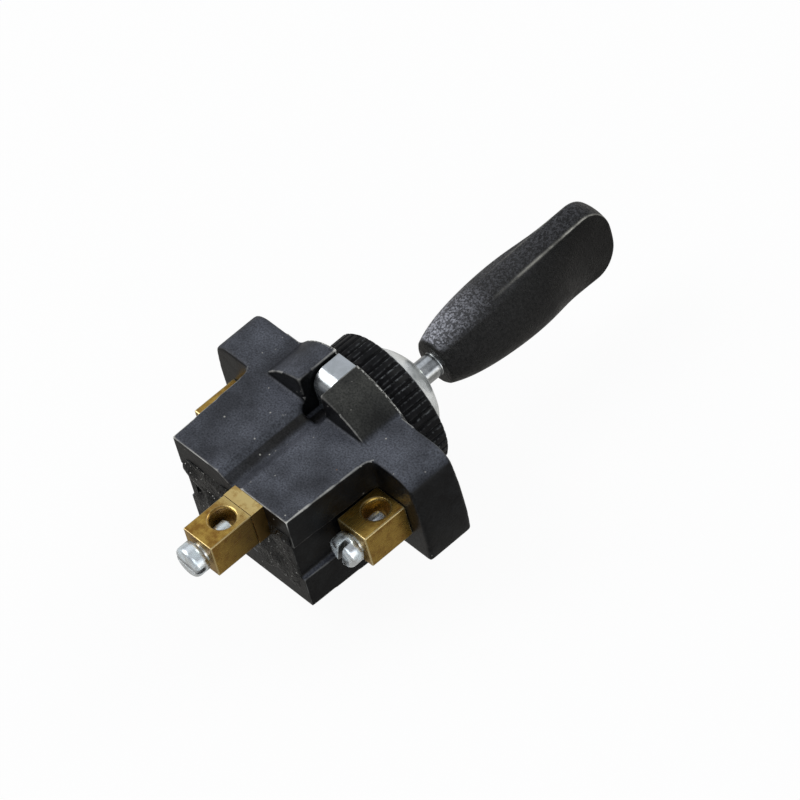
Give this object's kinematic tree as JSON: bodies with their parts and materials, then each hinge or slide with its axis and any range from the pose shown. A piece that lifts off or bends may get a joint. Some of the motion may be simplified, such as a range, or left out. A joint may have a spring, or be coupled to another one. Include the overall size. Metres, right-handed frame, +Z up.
{
  "type": "panel toggle light switch",
  "caption": "Black panel toggle switch for lights: a paddle lever swings to each side, a knurled ring nut holds the threaded neck, and brass screw terminals stand behind a winged moulding.",
  "frame": {"origin": "on the neck's axis, in the plane where the moulding seats on the back of the panel", "axes": "-Y along the lever towards the hand, +Y into the space behind the panel, +Z up, the wings along X"},
  "size_m": [0.046, 0.0873, 0.0294],
  "materials": {
    "phenolic": "satin",
    "zinc_plate": "bright",
    "turned_brass": "satin",
    "bright_nickel": "bright",
    "black_ring": "satin black",
    "steel": "satin",
    "moulded_grip": "grained",
    "fibre": "matte",
    "contact_brass": "satin",
    "compound": "rough",
    "terminal_brass": "satin",
    "zinc_screw": "bright"
  },
  "bodies": {
    "case": {"body_moulding": "phenolic", "fixing_saddle": "zinc_plate", "neck_bush": "turned_brass", "nose_cap": "bright_nickel", "pivot_pin": "steel", "contact_block": "fibre", "common_contact": "contact_brass", "left_contact": "contact_brass", "right_contact": "contact_brass", "sealing_compound": "compound", "rear_terminal": "terminal_brass", "left_terminal": "terminal_brass", "right_terminal": "terminal_brass"},
    "lever": {"lever_stem": "bright_nickel", "dust_shutter": "bright_nickel", "lever_paddle": "moulded_grip", "plunger_spring": "steel", "plunger_yoke": "fibre", "contact_roller": "contact_brass"},
    "ring": {"ring_nut": "black_ring"},
    "screw_rear": {"rear_screw": "zinc_screw"},
    "screw_left": {"left_screw": "zinc_screw"},
    "screw_right": {"right_screw": "zinc_screw"}
  },
  "joints": [
    {"name": "lever_swing", "type": "hinge", "parent": "case", "child": "lever", "pos_m": [0, 0.002, 0], "axis": [0, 0, 1], "range_deg": [-17, 17]},
    {"name": "ring_nut_unscrew", "type": "slide", "parent": "case", "child": "ring", "axis": [0, -1, 0], "range_m": [0, 0.004]},
    {"name": "rear_screw_turn", "type": "slide", "parent": "case", "child": "screw_rear", "axis": [0, 1, 0], "range_m": [0, 0.0035]},
    {"name": "left_screw_turn", "type": "slide", "parent": "case", "child": "screw_left", "axis": [0, 1, 0], "range_m": [0, 0.0035]},
    {"name": "right_screw_turn", "type": "slide", "parent": "case", "child": "screw_right", "axis": [0, 1, 0], "range_m": [0, 0.0035]}
  ]
}
